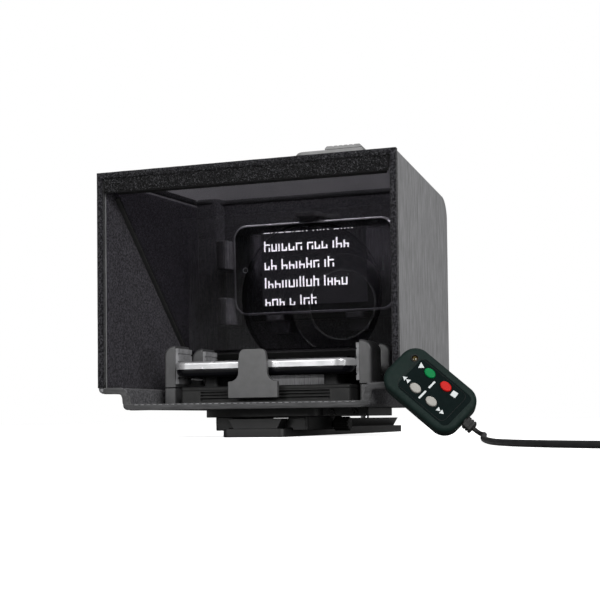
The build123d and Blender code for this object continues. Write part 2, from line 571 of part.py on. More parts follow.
# ---------------------------------------------------------------- cord, coil and plug
exit_point = remote_frame.from_local_coords(Vector(relief_end, 0, -5.2))
cord_r = CORD_D / 2
FLOOR_LINE = cord_r + 0.1
bend = exit_point + long_dir * ((exit_point.Z - FLOOR_LINE - 0.1) / -long_dir.Z)
ROUTE = [(144.5, -75.0), (147.5, -86.0), (153.0, -112.0), (161.0, -150.0), (170.0, -195.0),
         (182.0, -245.0), (196.0, -290.0), (222.0, -318.0), (251.8, -333.0)]
points = [exit_point, bend] + [Vector(x, y, FLOOR_LINE) for x, y in ROUTE]
radii = []
for a, b, c in zip(points, points[1:], points[2:]):
    turn = math.radians((b - a).get_angle(c - b))
    radii.append(0.45 * min((b - a).length, (c - b).length) / math.tan(turn / 2))
print("cord radii", [round(r, 1) for r in radii])
print("cord points", [tuple(round(v, 2) for v in p) for p in points])
cord_path = FilletPolyline(*points, radius=radii)
cord = sweep(Plane(origin=points[0], z_dir=points[1] - points[0]).location * Circle(cord_r),
             path=cord_path)
print("cord length", round(cord_path.length, 1), "volume ratio",
      round(cord.volume / (math.pi * cord_r ** 2 * cord_path.length), 3))
save("remote_cord", cord)

COIL_X, COIL_Y, COIL_MID, COIL_BAND, COIL_H = 262.0, -322.0, 15.0, 10.5, 10.5
coil = Pos(COIL_X, COIL_Y, COIL_H / 2) * (Cylinder(COIL_MID + COIL_BAND / 2, COIL_H)
                                          - Cylinder(COIL_MID - COIL_BAND / 2, COIL_H + 2))
coil = fillet(coil.edges().filter_by(GeomType.CIRCLE), 4.0)
save("cord_coil", coil)

PLUG_X, PLUG_R, PLUG_Y = COIL_X + COIL_MID + 4.0, 4.1, COIL_Y + 9.0
plug = rod(PLUG_R, (PLUG_X, PLUG_Y + 9, PLUG_R), (PLUG_X, PLUG_Y + 26, PLUG_R))
plug = chamfer(plug.edges().filter_by(GeomType.CIRCLE), 0.8)
plug += Pos(PLUG_X, PLUG_Y, PLUG_R) * Rot(-90, 0, 0) * Cone(
    1.7, 2.8, 9.5, align=(Align.CENTER, Align.CENTER, Align.MIN))
save("plug_body", plug)
tip = rod(1.75, (PLUG_X, PLUG_Y + 26, PLUG_R), (PLUG_X, PLUG_Y + 36, PLUG_R))
tip += Pos(PLUG_X, PLUG_Y + 36, PLUG_R) * Rot(-90, 0, 0) * Cone(
    1.7, 0.8, 2.4, align=(Align.CENTER, Align.CENTER, Align.MIN))
save("plug_tip", tip)
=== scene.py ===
import math
import random

import bmesh
import bpy
from mathutils import Matrix, Vector, noise


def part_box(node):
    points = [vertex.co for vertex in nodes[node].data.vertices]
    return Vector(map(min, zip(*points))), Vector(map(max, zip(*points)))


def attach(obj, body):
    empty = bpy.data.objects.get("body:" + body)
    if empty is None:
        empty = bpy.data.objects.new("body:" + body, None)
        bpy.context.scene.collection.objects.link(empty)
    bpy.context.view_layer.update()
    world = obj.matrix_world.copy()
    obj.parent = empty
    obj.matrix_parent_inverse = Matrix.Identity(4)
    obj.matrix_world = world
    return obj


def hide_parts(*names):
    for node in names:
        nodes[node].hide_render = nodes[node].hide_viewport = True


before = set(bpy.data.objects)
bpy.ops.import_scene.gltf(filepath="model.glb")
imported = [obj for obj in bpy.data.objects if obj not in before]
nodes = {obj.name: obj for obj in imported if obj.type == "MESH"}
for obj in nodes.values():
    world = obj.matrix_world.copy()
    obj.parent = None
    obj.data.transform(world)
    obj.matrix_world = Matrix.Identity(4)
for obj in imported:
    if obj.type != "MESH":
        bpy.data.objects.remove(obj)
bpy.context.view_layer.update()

# The looks of a compact teleprompter, built around its CAD frame. Lengths named _MM are
# millimetres and everything else is metres. The mouth of the hood faces -Y.

scene = bpy.context.scene
MM = 0.001


def mm(*values):
    """Millimetres as a vector in metres."""
    return Vector(values) * MM


def box_mm(node):
    """Lowest and highest corner of a CAD node, in millimetres."""
    low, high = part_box(node)
    return low / MM, high / MM


# ---------------------------------------------------------------- camera and studio
CAMERA_AT_MM = (278.31, -695.35, 9.92)
CAMERA_YAW, CAMERA_PITCH, CAMERA_ROLL = 0.3309, 0.0329, -0.0118      # radians
CAMERA_LENS, CAMERA_SENSOR = 71.93, 36.0             # millimetres
CAMERA_SHIFT = (-0.0667, 0.1333)
ROOM_LIGHT = 0.20         # the studio round the object is dim, and only its backdrop is white
PAINTED_SHADE_BEHIND_GLASS = 0.01       # painted shade: the backdrop turns nearly black as it shows through the beam splitter, standing in for a camera that would stand there and keep out the light
                          # would stand and keep out the light
FLOOR_GREY, FLOOR_WHITE = 0.28, 0.9      # its colour to the light, and to the camera
FLOOR_GLOW = 0.86         # to the camera only, so that the floor blends into the backdrop
STUDIO_AIM = (0.0, 0.0, 0.08)
SOFTBOXES = (             # name, place, size and watts
    ("key", (0.82, -1.20, 0.70), (0.5, 0.5), 17),
    ("fill", (-0.5, -1.5, 0.5), (0.6, 0.6), 8),
    ("edge", (1.2, -0.7, 0.10), (0.3, 0.2), 3.5),
    ("top", (0.1, 0.2, 1.5), (1.0, 1.0), 9),
)


def make_camera():
    data = bpy.data.cameras.new("camera")
    data.sensor_width = CAMERA_SENSOR
    data.lens = CAMERA_LENS
    data.shift_x, data.shift_y = CAMERA_SHIFT
    data.clip_start, data.clip_end = 0.01, 20.0
    camera = bpy.data.objects.new("camera", data)
    scene.collection.objects.link(camera)
    cp = math.cos(CAMERA_PITCH)
    forward = Vector((-math.sin(CAMERA_YAW) * cp, math.cos(CAMERA_YAW) * cp,
                      math.sin(CAMERA_PITCH)))
    level = Vector((math.cos(CAMERA_YAW), math.sin(CAMERA_YAW), 0.0))
    upright = level.cross(forward)
    cr, sr = math.cos(CAMERA_ROLL), math.sin(CAMERA_ROLL)
    right, up = level * cr + upright * sr, upright * cr - level * sr
    turn = Matrix((right, up, -forward)).transposed().to_4x4()
    camera.matrix_world = Matrix.Translation(mm(*CAMERA_AT_MM)) @ turn
    scene.camera = camera


def softbox(name, at, size, watts):
    data = bpy.data.lights.new(name, "AREA")
    data.shape = "RECTANGLE"
    data.size, data.size_y = size
    data.energy = watts
    lamp = bpy.data.objects.new(name, data)
    scene.collection.objects.link(lamp)
    lamp.location = at
    sight = Vector(STUDIO_AIM) - Vector(at)
    lamp.rotation_euler = sight.to_track_quat("-Z", "Y").to_euler()


def make_studio():
    scene.view_settings.view_transform = "Standard"
    world = bpy.data.worlds.new("studio")
    scene.world = world
    world.use_nodes = True
    tree = world.node_tree
    back = tree.nodes["Background"]
    back.inputs["Color"].default_value = (1, 1, 1, 1)
    paths = tree.nodes.new("ShaderNodeLightPath")
    through = tree.nodes.new("ShaderNodeMath")     # 1 for a look that has passed through glass
    through.operation = "GREATER_THAN"
    through.inputs[1].default_value = 0.5
    tree.links.new(paths.outputs["Transparent Depth"], through.inputs[0])
    # painted shade: a look that has passed through glass sees the backdrop nearly black
    backdrop = tree.nodes.new("ShaderNodeMix")
    backdrop.inputs["A"].default_value = 1.0
    backdrop.inputs["B"].default_value = PAINTED_SHADE_BEHIND_GLASS
    tree.links.new(through.outputs[0], backdrop.inputs["Factor"])
    seen = tree.nodes.new("ShaderNodeMix")
    seen.inputs["A"].default_value = ROOM_LIGHT
    tree.links.new(backdrop.outputs["Result"], seen.inputs["B"])
    tree.links.new(paths.outputs["Is Camera Ray"], seen.inputs["Factor"])
    tree.links.new(seen.outputs["Result"], back.inputs["Strength"])
    for box in SOFTBOXES:
        softbox(*box)
    bpy.ops.mesh.primitive_grid_add(x_subdivisions=8, y_subdivisions=8, size=8.0)
    floor = bpy.context.object
    floor.name = "floor"
    finish = Finish("floor_paper", (0.9, 0.9, 0.9), 0.9, Specular_IOR_Level=0.0,
                    Emission_Color=(1.0, 1.0, 1.0, 1.0))
    paths = finish.nodes.new("ShaderNodeLightPath")
    for socket, dark, light in (("Base Color", FLOOR_GREY, FLOOR_WHITE),
                                ("Emission Strength", 0.0, FLOOR_GLOW)):
        level = finish.nodes.new("ShaderNodeMapRange")
        level.inputs["To Min"].default_value = dark
        level.inputs["To Max"].default_value = light
        finish.links.new(paths.outputs["Is Camera Ray"], level.inputs["Value"])
        finish.links.new(level.outputs["Result"], finish.shader.inputs[socket])
    floor.data.materials.append(finish.material)


# ---------------------------------------------------------------- materials
class Finish:
    """A Principled material, with short calls that add its grain, colour and relief."""

    def __init__(self, name, colour, roughness, **sockets):
        self.material = bpy.data.materials.new(name)
        self.material.use_nodes = True
        self.nodes = self.material.node_tree.nodes
        self.links = self.material.node_tree.links
        self.shader = self.nodes["Principled BSDF"]
        self.place = self.nodes.new("ShaderNodeTexCoord").outputs["Object"]
        self.bump = None
        self.shader.inputs["Base Color"].default_value = (*colour, 1)
        self.shader.inputs["Roughness"].default_value = roughness
        for socket, value in sockets.items():
            self.shader.inputs[socket.replace("_", " ")].default_value = value

    def grain(self, size_mm, detail=3.0, stretch=(1, 1, 1)):
        """Noise with lumps about size_mm across, and longer by the stretch along each axis."""
        mapping = self.nodes.new("ShaderNodeMapping")
        mapping.inputs["Scale"].default_value = [1 / s for s in stretch]
        self.links.new(self.place, mapping.inputs["Vector"])
        lumps = self.nodes.new("ShaderNodeTexNoise")
        lumps.inputs["Scale"].default_value = 1 / (size_mm * MM)
        lumps.inputs["Detail"].default_value = detail
        lumps.inputs["Roughness"].default_value = 0.6
        self.links.new(mapping.outputs["Vector"], lumps.inputs["Vector"])
        return lumps.outputs["Fac"]

    def ribs(self, pitch_mm, axis, wander=0.0):
        """Even ribs across an axis, a pitch apart."""
        bands = self.nodes.new("ShaderNodeTexWave")
        bands.bands_direction = axis
        bands.inputs["Scale"].default_value = 2 * math.pi / (20 * pitch_mm * MM)
        bands.inputs["Distortion"].default_value = wander
        bands.inputs["Detail"].default_value = 1.0
        self.links.new(self.place, bands.inputs["Vector"])
        return bands.outputs["Fac"]

    def mixed(self, a, b, how="ADD"):
        sums = self.nodes.new("ShaderNodeMath")
        sums.operation = how
        self.links.new(a, sums.inputs[0])
        self.links.new(b, sums.inputs[1])
        return sums.outputs[0]

    def weave(self, pitch_mm):
        """Threads along all three axes, so that any flat side shows two sets."""
        threads = [self.ribs(pitch_mm, axis, 0.4) for axis in "XYZ"]
        return self.mixed(self.mixed(threads[0], threads[1]), threads[2])

    def tint(self, pattern, dark, light, low=0.35, high=0.65):
        ramp = self.nodes.new("ShaderNodeValToRGB")
        ramp.color_ramp.elements[0].position = low
        ramp.color_ramp.elements[1].position = high
        ramp.color_ramp.elements[0].color = (*dark, 1)
        ramp.color_ramp.elements[1].color = (*light, 1)
        self.links.new(pattern, ramp.inputs["Fac"])
        self.links.new(ramp.outputs["Color"], self.shader.inputs["Base Color"])
        return ramp

    def rough(self, pattern, low, high):
        spread = self.nodes.new("ShaderNodeMapRange")
        spread.inputs["From Min"].default_value = 0.3
        spread.inputs["From Max"].default_value = 0.7
        spread.inputs["To Min"].default_value = low
        spread.inputs["To Max"].default_value = high
        self.links.new(pattern, spread.inputs["Value"])
        self.links.new(spread.outputs["Result"], self.shader.inputs["Roughness"])

    def relief(self, pattern, height_mm, strength=1.0):
        bump = self.nodes.new("ShaderNodeBump")
        bump.inputs["Distance"].default_value = height_mm * MM
        bump.inputs["Strength"].default_value = strength
        self.links.new(pattern, bump.inputs["Height"])
        if self.bump:
            self.links.new(self.bump.outputs["Normal"], bump.inputs["Normal"])
        self.links.new(bump.outputs["Normal"], self.shader.inputs["Normal"])
        self.bump = bump


def grey(value):
    return (value, value, value * 1.03)


def brushed_fabric(name, value, along):
    """Short brushed pile over a woven ground, with its streaks along one axis."""
    stretch = [14.0 if axis == along else 1.0 for axis in "XYZ"]
    finish = Finish(name, grey(value), 0.95, Sheen_Weight=0.12, Sheen_Roughness=0.6,
                    Specular_IOR_Level=0.2)
    streaks = finish.grain(0.9, 4.0, stretch)
    finish.tint(streaks, grey(value * 0.66), grey(value * 1.3))
    finish.rough(finish.grain(3.0), 0.86, 0.98)
    finish.relief(finish.weave(0.8), 0.05, 0.35)
    finish.relief(streaks, 0.12, 0.6)
    return finish.material


def felt(name, dark, light, speck_mm=1.5, low=0.42, high=0.66):
    finish = Finish(name, light, 0.97, Sheen_Weight=0.08, Sheen_Roughness=0.5,
                    Specular_IOR_Level=0.15)
    # light specks of the nap; on the loop pile they are painted glints of its fibres over its own
    # dark colour
    nap = finish.grain(speck_mm, 1.5)
    finish.tint(nap, dark, light, low, high)
    finish.relief(nap, 0.25, 0.8)
    finish.relief(finish.grain(0.35, 4.0), 0.15, 0.8)
    return finish.material


def moulded(name, value, roughness, tint=(1, 1, 1), grain_mm=0.25, depth_mm=0.012, worn=1.25,
            shine=0.3):
    """Spark-eroded moulded plastic, a little shinier where it has been handled."""
    colour = [value * t for t in tint]
    finish = Finish(name, colour, roughness, Specular_IOR_Level=shine)
    finish.tint(finish.grain(6.0, 4.0), [c * 0.88 for c in colour],
                [min(1, c * worn) for c in colour], 0.3, 0.8)
    finish.rough(finish.grain(2.2, 5.0), roughness * 0.82, min(1.0, roughness * 1.2))
    finish.relief(finish.grain(grain_mm, 2.0), depth_mm, 0.7)
    return finish.material


def metal(name, value, roughness, along="X"):
    """Anodised or machined metal with fine lines along one axis."""
    stretch = [30.0 if axis == along else 1.0 for axis in "XYZ"]
    finish = Finish(name, grey(value), roughness, Metallic=1.0)
    lines = finish.grain(0.3, 3.0, stretch)
    finish.tint(finish.grain(5.0, 4.0), grey(value * 0.85), grey(value * 1.12))
    finish.rough(lines, roughness * 0.8, roughness * 1.25)
    finish.relief(lines, 0.008, 0.5)
    return finish.material


def anodised(name, value, roughness):
    finish = Finish(name, grey(value), roughness, Specular_IOR_Level=0.35)
    finish.tint(finish.grain(7.0, 4.0), grey(value * 0.8), grey(value * 1.25))
    finish.rough(finish.grain(0.5, 4.0), roughness * 0.85, roughness * 1.15)
    finish.relief(finish.grain(0.16, 2.0), 0.01, 0.6)
    return finish.material


def mirror_glass():
    """Half-silvered glass: part mirror, part see-through, with a faint violet coating."""
    finish = Finish("half_silvered_glass", (0.47, 0.45, 0.50), 0.012, Metallic=1.0, Alpha=0.68)
    finish.tint(finish.grain(40.0, 2.0), (0.42, 0.40, 0.45), (0.50, 0.48, 0.53))
    return finish.material


def clear_glass():
    """The uncoated side and the edges of the beam splitter."""
    finish = Finish("clear_glass", (0.30, 0.32, 0.31), 0.03, Metallic=1.0, Alpha=0.06)
    finish.tint(finish.grain(40.0, 2.0), (0.27, 0.30, 0.28), (0.33, 0.35, 0.34))
    return finish.material


def glossy(name, colour, roughness=0.06, coat=0.6):
    finish = Finish(name, colour, roughness, Coat_Weight=coat, Coat_Roughness=0.03,
                    Specular_IOR_Level=0.3)
    finish.rough(finish.grain(12.0, 4.0), roughness * 0.7, roughness * 2.2)
    finish.tint(finish.grain(20.0), [c * 0.8 for c in colour], [c * 1.25 for c in colour])
    return finish.material


def chrome():
    finish = Finish("polished_bezel", (0.55, 0.55, 0.56), 0.25, Metallic=0.55)
    finish.rough(finish.grain(8.0, 2.0), 0.2, 0.28)
    finish.tint(finish.grain(10.0), (0.50, 0.50, 0.51), (0.60, 0.60, 0.61))
    return finish.material


def glowing(name, colour, strength, dark=0.75):
    """A lit area of the screen, a little uneven from edge to edge."""
    finish = Finish(name, (0.005, 0.005, 0.005), 0.3, Emission_Strength=strength,
                    Specular_IOR_Level=0.1)
    ramp = finish.tint(finish.grain(30.0, 2.0), [c * dark for c in colour], colour)
    for link in list(ramp.outputs["Color"].links):
        finish.links.remove(link)
    finish.links.new(ramp.outputs["Color"], finish.shader.inputs["Emission Color"])
    return finish.material


def rubber(name, value, roughness=0.7, grain_mm=0.4):
    finish = Finish(name, grey(value), roughness, Specular_IOR_Level=0.25)
    finish.tint(finish.grain(5.0, 4.0), grey(value * 0.8), grey(value * 1.4))
    finish.rough(finish.grain(1.5, 4.0), roughness * 0.85, min(1.0, roughness * 1.15))
    finish.relief(finish.grain(grain_mm, 3.0), 0.02, 0.6)
    return finish.material


def circuit_board():
    finish = Finish("circuit_board", (0.02, 0.14, 0.05), 0.35)
    finish.tint(finish.ribs(1.6, "DIAGONAL", 3.0), (0.01, 0.10, 0.035), (0.05, 0.22, 0.09))
    finish.relief(finish.ribs(1.6, "DIAGONAL", 3.0), 0.03, 0.5)
    return finish.material


def make_materials():
    return {
        "wall_fabric": brushed_fabric("wall_fabric", 0.180, "Z"),
        "top_fabric": brushed_fabric("top_fabric", 0.17, "Y"),
        "tray_fabric": felt("tray_fabric", (0.045, 0.044, 0.048), (0.13, 0.129, 0.137),
                            1.1, 0.38, 0.74),
        "lining_felt": felt("lining_felt", (0.010, 0.009, 0.012), (0.066, 0.062, 0.074),
                            1.1, 0.38, 0.74),
        "binding_tape": felt("binding_tape", (0.004, 0.004, 0.005), (0.040, 0.039, 0.044), 1.1),
        "strip_ground": felt("strip_ground", (0.002, 0.002, 0.002), (0.012, 0.012, 0.013), 0.8),
        # painted glints: the pile's light specks stand in for the glints of its loop fibres
        "strip_pile": felt("strip_pile", (0.006, 0.006, 0.007), (0.11, 0.11, 0.118),
                           0.9, 0.46, 0.66),
        "lip_fabric": brushed_fabric("lip_fabric", 0.06, "X"),
        "thread": rubber("thread", 0.03, 0.8),
        # real stitches, with a pale colour that is partly a painted highlight along the lip's
        # lower edge
        "pale_thread_painted_highlight": rubber("pale_thread_painted_highlight", 0.22, 0.8),
        "glass": mirror_glass(),
        "clear_glass": clear_glass(),
        "channel_plastic": moulded("channel_plastic", 0.028, 0.7, shine=0.1),
        "black_plastic": moulded("black_plastic", 0.012, 0.5, shine=0.2),
        "housing_plastic": moulded("housing_plastic", 0.015, 0.5, shine=0.25),
        "grey_plastic": moulded("grey_plastic", 0.053, 0.36, (1, 1, 1.03), shine=0.5),
        "clip_plastic": moulded("clip_plastic", 0.067, 0.34, (1, 1, 1.02), shine=0.5),
        "tab_plastic": moulded("tab_plastic", 0.20, 0.42),
        "pad_rubber": rubber("pad_rubber", 0.19, 0.75),
        "black_rubber": rubber("black_rubber", 0.02),
        "black_metal": anodised("black_metal", 0.010, 0.42),
        "grey_metal": metal("grey_metal", 0.12, 0.4, "Z"),
        "steel": metal("steel", 0.55, 0.28, "Z"),
        "chrome": chrome(),
        "handset_black": glossy("handset_black", (0.003, 0.003, 0.004), 0.12, 0.1),
        "screen_glass": glossy("screen_glass", (0.003, 0.003, 0.004), 0.08, 0.15),
        "remote_plastic": moulded("remote_plastic", 0.013, 0.6, (0.40, 1.0, 0.85),
                                  0.2, 0.01, 1.15, 0.12),
        "remote_label": moulded("remote_label", 0.007, 0.6, (0.45, 1.0, 0.98),
                                0.15, 0.006, 1.1, 0.03),
        "key_green": moulded("key_green", 0.16, 0.4, (0.01, 1.0, 0.28), 0.2, 0.01, 1.2, 0.1),
        "key_red": moulded("key_red", 0.46, 0.4, (1.0, 0.03, 0.025), 0.2, 0.01, 1.1, 0.1),
        "key_grey": moulded("key_grey", 0.30, 0.5, (1.0, 0.98, 0.90), 0.2, 0.01, 1.1),
        # printed ink on the remote and the button; on the speaker grille the same light grey is a
        # painted highlight
        "white_ink_and_painted_highlight": moulded("white_ink_and_painted_highlight", 0.6, 0.5, (0.95, 1.0, 1.0), 0.2, 0.002, 1.05),
        "indicator": glossy("indicator", (0.05, 0.035, 0.01), 0.08),
        "circuit_board": circuit_board(),
        "cord_jacket": rubber("cord_jacket", 0.008, 0.5, 0.5),
        "screen_ground": glowing("screen_ground", (0.30, 0.30, 0.33), 0.10),
        "screen_strokes": glowing("screen_strokes", (1.0, 1.0, 1.0), 3.4, 0.9),
    }


# ---------------------------------------------------------------- mesh tools
def add_piece(name, mesh, body, material, replaces=(), smooth=True):
    """Put a finished mesh in the scene, on its body and with its finish."""
    piece = bpy.data.objects.new(name, mesh)
    scene.collection.objects.link(piece)
    mesh.materials.clear()
    mesh.materials.append(material)
    for polygon in mesh.polygons:
        polygon.use_smooth = smooth
    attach(piece, body)
    if replaces:
        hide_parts(*replaces)
    return piece


def mesh_of(name, points, faces):
    mesh = bpy.data.meshes.new(name)
    mesh.from_pydata([tuple(p) for p in points], [], faces)
    work = bmesh.new()
    work.from_mesh(mesh)
    bmesh.ops.recalc_face_normals(work, faces=work.faces)
    work.to_mesh(mesh)
    work.free()
    return mesh


def with_modifiers(mesh, *steps):
    """The mesh after a list of (modifier type, settings)."""
    carrier = bpy.data.objects.new("carrier", mesh)
    scene.collection.objects.link(carrier)
    for kind, settings in steps:
        modifier = carrier.modifiers.new(kind.lower(), kind)
        for key, value in settings.items():
            setattr(modifier, key, value)
    graph = bpy.context.evaluated_depsgraph_get()
    result = bpy.data.meshes.new_from_object(carrier.evaluated_get(graph))
    bpy.data.objects.remove(carrier)
    return result


def loft(rings, closed_ring=True, closed_loft=False):
    """Points and faces that join equal rings of points, one after another."""
    n = len(rings[0])
    points = [p for ring in rings for p in ring]
    faces = []
    for r in range(len(rings) if closed_loft else len(rings) - 1):
        a, b = r * n, ((r + 1) % len(rings)) * n
        for k in range(n if closed_ring else n - 1):
            j = (k + 1) % n
            faces.append((a + k, a + j, b + j, b + k))
    if closed_ring and not closed_loft:
        faces += [tuple(range(n - 1, -1, -1)), tuple(range(len(points) - n, len(points)))]
    return points, faces


def gather(parts):
    """Several (points, faces) as one."""
    points, faces = [], []
    for more_points, more_faces in parts:
        start = len(points)
        points += more_points
        faces += [tuple(i + start for i in face) for face in more_faces]
    return points, faces


def tube(path, radius, sides=6):
    """A thin round tube through a few points."""
    rings = []
    for i, here in enumerate(path):
        ahead = path[min(i + 1, len(path) - 1)] - path[max(i - 1, 0)]
        across = ahead.orthogonal().normalized()
        other = ahead.cross(across).normalized()
        turns = [2 * math.pi * k / sides for k in range(sides)]
        rings.append([here + (across * math.cos(t) + other * math.sin(t)) * radius for t in turns])
    return loft(rings)


def rounded_rectangle(cx, cy, width, height, radius, corner_steps=5):
    """Outline points of a rectangle with round corners, in a plane."""
    points = []
    for k, (sx, sy) in enumerate(((1, 1), (-1, 1), (-1, -1), (1, -1))):
        for step in range(corner_steps + 1):
            angle = math.pi / 2 * (k + step / corner_steps)
            points.append((cx + sx * (width / 2 - radius) + radius * math.cos(angle),
                           cy + sy * (height / 2 - radius) + radius * math.sin(angle)))
    return points


def slab(outline, place, low, high, crown=0.0):
    """A flat plate with a softened upper rim. place(u, v, w) gives a point in the row frame."""
    cu = sum(p[0] for p in outline) / len(outline)
    cv = sum(p[1] for p in outline) / len(outline)

    def ring(shrink, w):
        return [place(cu + (u - cu) * shrink, cv + (v - cv) * shrink, w) for u, v in outline]

    rings = [ring(1.0, low), ring(1.0, low + (high - low) * 0.6), ring(0.97, high),
             ring(0.5, high + crown * 0.7)]
    return loft(rings)


def soften(name, width_mm=0.3, segments=2):
    """Break a CAD node's sharp edges, as a mould or a cutter leaves them."""
    piece = nodes[name]
    weld = piece.modifiers.new("weld", "WELD")
    weld.merge_threshold = 1e-6
    flat = piece.modifiers.new("flat", "DECIMATE")
    flat.decimate_type = "DISSOLVE"
    flat.angle_limit = math.radians(0.6)
    bevel = piece.modifiers.new("bevel", "BEVEL")
    bevel.width = width_mm * MM
    bevel.segments = segments
    bevel.limit_method = "ANGLE"
    bevel.angle_limit = math.radians(38)
    bevel.use_clamp_overlap = False
    tidy = piece.modifiers.new("tidy", "WEIGHTED_NORMAL")
    tidy.weight = 60


def paint(material, *names):
    for name in names:
        data = nodes[name].data
        data.materials.clear()
        data.materials.append(material)


# ---------------------------------------------------------------- cord
CORD_R_MM = 1.25
CORD_EXIT_MM = (138.03, -70.45, 4.35)
CORD_ROUTE_MM = [CORD_EXIT_MM, (141.5, -70.64, 1.45), (144.5, -75.0, 1.35), (147.5, -86.0, 1.35),
                 (153.0, -112.0, 1.35), (161.0, -150.0, 1.35), (170.0, -195.0, 1.35),
                 (182.0, -245.0, 1.35), (196.0, -290.0, 1.35), (222.0, -318.0, 1.35)]
COIL_AT_MM = (262.0, -322.0)
COIL_MID_MM, COIL_TUBE_MM = 15.0, 4.0     # middle radius of the turns, and of the bundle
COIL_ENTRY = math.radians(228)
COIL_TURNS = 7 + (2 * math.pi - COIL_ENTRY) / (2 * math.pi)
STEPS_PER_TURN = 16


def coil_points():
    """Turns that climb round a ring-shaped bundle, from its floor side over its inner side."""
    points = []
    count = round(COIL_TURNS * STEPS_PER_TURN)
    floor_z = CORD_R_MM + 0.1 + COIL_TUBE_MM
    for i in range(count + 1):
        share = i / count
        angle = COIL_ENTRY + 2 * math.pi * COIL_TURNS * share
        round_bundle = -math.pi / 2 - 1.5 * math.pi * share
        r = COIL_MID_MM + COIL_TUBE_MM * math.cos(round_bundle)
        points.append((COIL_AT_MM[0] + r * math.cos(angle), COIL_AT_MM[1] + r * math.sin(angle),
                       floor_z + COIL_TUBE_MM * math.sin(round_bundle)))
    return points


def make_cord(m):
    low, high = box_mm("plug_body")
    plug_end = ((low.x + high.x) / 2, low.y + 0.3, (low.z + high.z) / 2)
    route = CORD_ROUTE_MM + coil_points() + [plug_end]
    curve = bpy.data.curves.new("cord", "CURVE")
    curve.dimensions = "3D"
    curve.bevel_depth = CORD_R_MM * MM
    curve.bevel_resolution = 4
    curve.resolution_u = 6
    curve.use_fill_caps = True
    spline = curve.splines.new("NURBS")
    spline.points.add(len(route) - 1)
    for point, place in zip(spline.points, route):
        point.co = (*mm(*place), 1.0)
    spline.order_u = 3
    spline.use_endpoint_u = True
    curve.materials.append(m["cord_jacket"])
    cord = bpy.data.objects.new("remote_lead", curve)
    scene.collection.objects.link(cord)
    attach(cord, "base")
    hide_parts("remote_cord", "cord_coil")


# ---------------------------------------------------------------- hood
TOP_FALL = 0.082          # how fast the top falls towards the back
LINING_CORNER_MM = 10.8   # round back corner of the side linings
BINDING_MM, HEM_MM = 3.4, 3.0            # how far each tape reaches back from the mouth
STITCH_PITCH_MM = 4
PILE_LOOPS = 3200


def wobble(mesh, amount_mm, size_mm, seed):
    """Push each point along its normal by smooth noise, as cloth over a board lies."""
    shift = Vector((seed * 3.7, seed * 1.3, seed * 2.1))
    normals = [vertex.normal.copy() for vertex in mesh.vertices]
    for vertex, normal in zip(mesh.vertices, normals):
        where = vertex.co / (size_mm * MM) + shift
        height = noise.noise(where) + 0.35 * noise.noise(where * 3.1)
        vertex.co += normal * (height * amount_mm * MM)


def swept_tape(path, profile):
    """A closed profile swept along a path in the XZ plane. A profile point is (outward, y)."""
    rings = []
    for i, here in enumerate(path):
        before = Vector(here) - Vector(path[max(i - 1, 0)])
        after = Vector(path[min(i + 1, len(path) - 1)]) - Vector(here)
        before = before.normalized() if before.length else after.normalized()
        after = after.normalized() if after.length else before
        direction = (before + after).normalized()
        outward = Vector((-direction.y, direction.x))
        stretch = 1 / max(0.5, direction.dot(after))
        rings.append([mm(here[0] + outward.x * a * stretch, y, here[1] + outward.y * a * stretch)
                      for a, y in profile])
    return loft(rings)


def tape_profile(half_mm, front_mm, back_mm, thick_mm):
    """A tape folded over a board's edge: down one side, round the front and up the other."""
    outer = half_mm + thick_mm
    points = [(outer, back_mm)]
    steps = 8
    for k in range(steps + 1):
        angle = math.pi * k / steps
        points.append((outer * math.cos(angle), front_mm - 0.9 * math.sin(angle)))
    points += [(-outer, back_mm), (-half_mm + 0.4, back_mm), (-half_mm + 0.4, front_mm + 0.6),
               (half_mm - 0.4, front_mm + 0.6), (half_mm - 0.4, back_mm)]
    return points


def divided(path, step_mm):
    """The same path with more points along its straight runs."""
    points = [path[0]]
    for a, b in zip(path, path[1:]):
        a, b = Vector(a), Vector(b)
        count = max(1, round((b - a).length / step_mm))
        points += [tuple(a.lerp(b, (k + 1) / count)) for k in range(count)]
    return points


def stitches(spots, direction, length_mm, radius_mm=0.16):
    """Short threads that stand proud of the cloth in the middle and dive in at both ends."""
    parts = []
    for spot, outward in spots:
        ends = direction * (length_mm * MM / 2)
        rise = outward * (radius_mm * MM)
        path = [spot - ends - rise, spot - ends * 0.6 + rise * 0.5, spot + ends * 0.6 + rise * 0.5,
                spot + ends - rise]
        parts.append(tube(path, radius_mm * MM, 5))
    return gather(parts)


